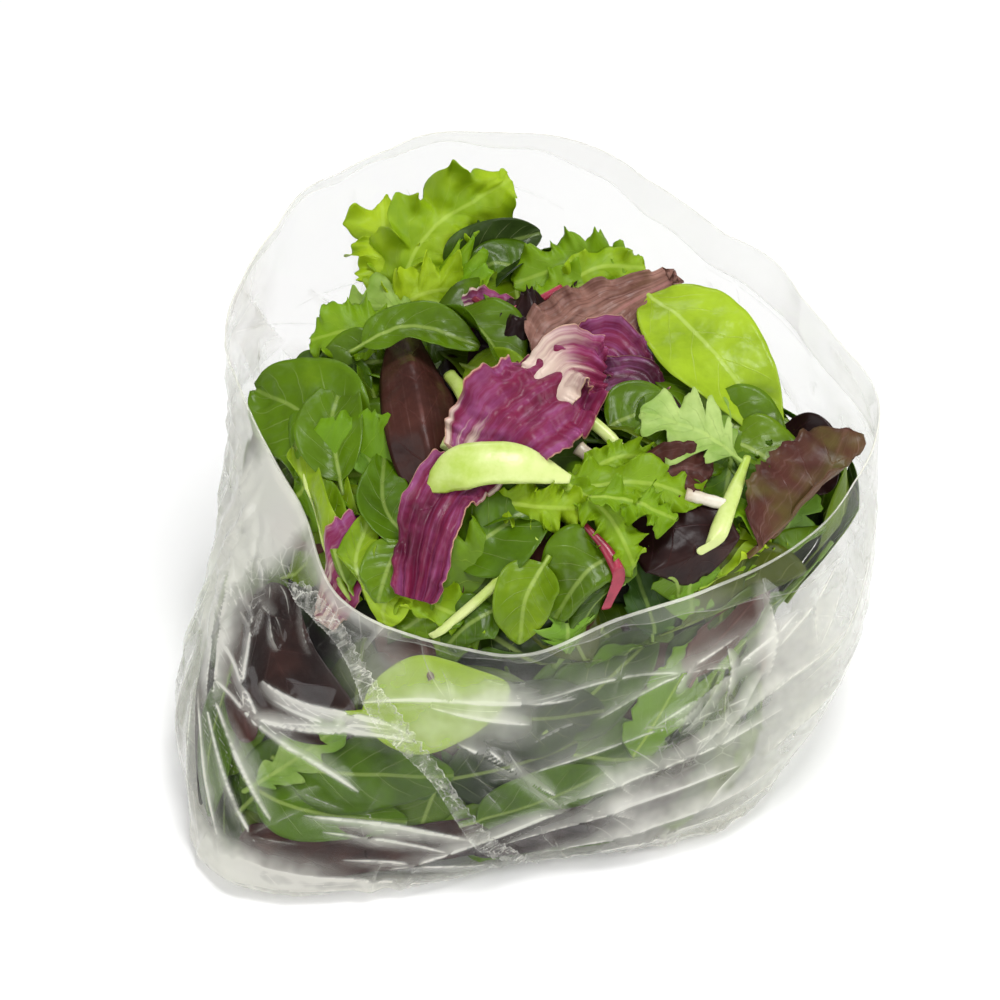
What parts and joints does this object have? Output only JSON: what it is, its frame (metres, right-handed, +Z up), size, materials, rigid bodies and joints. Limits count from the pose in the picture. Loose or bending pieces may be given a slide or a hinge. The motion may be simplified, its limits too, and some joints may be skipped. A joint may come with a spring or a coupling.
{
  "type": "bag of salad leaves",
  "caption": "Open, slumped bag of thin clear film, filled to the mouth with mixed green and red salad leaves.",
  "frame": {"origin": "on the table, below the middle of the bag's box", "axes": "+X to the bag's right, +Y to its back, where the mouth stands highest, +Z up"},
  "size_m": [0.2632, 0.2392, 0.1754],
  "materials": {
    "clear_film": "thin clear glossy film, milky on its creases",
    "green_leaf": "fresh leaf with a soft waxy gloss",
    "red_leaf": "dark red-brown leaf with a soft waxy gloss",
    "purple_leaf": "purple leaf with cream ribs",
    "stalk": "smooth juicy stalk"
  },
  "bodies": {
    "root": {"film_bag": "clear_film", "salad_leaves": "green_leaf"}
  },
  "joints": []
}
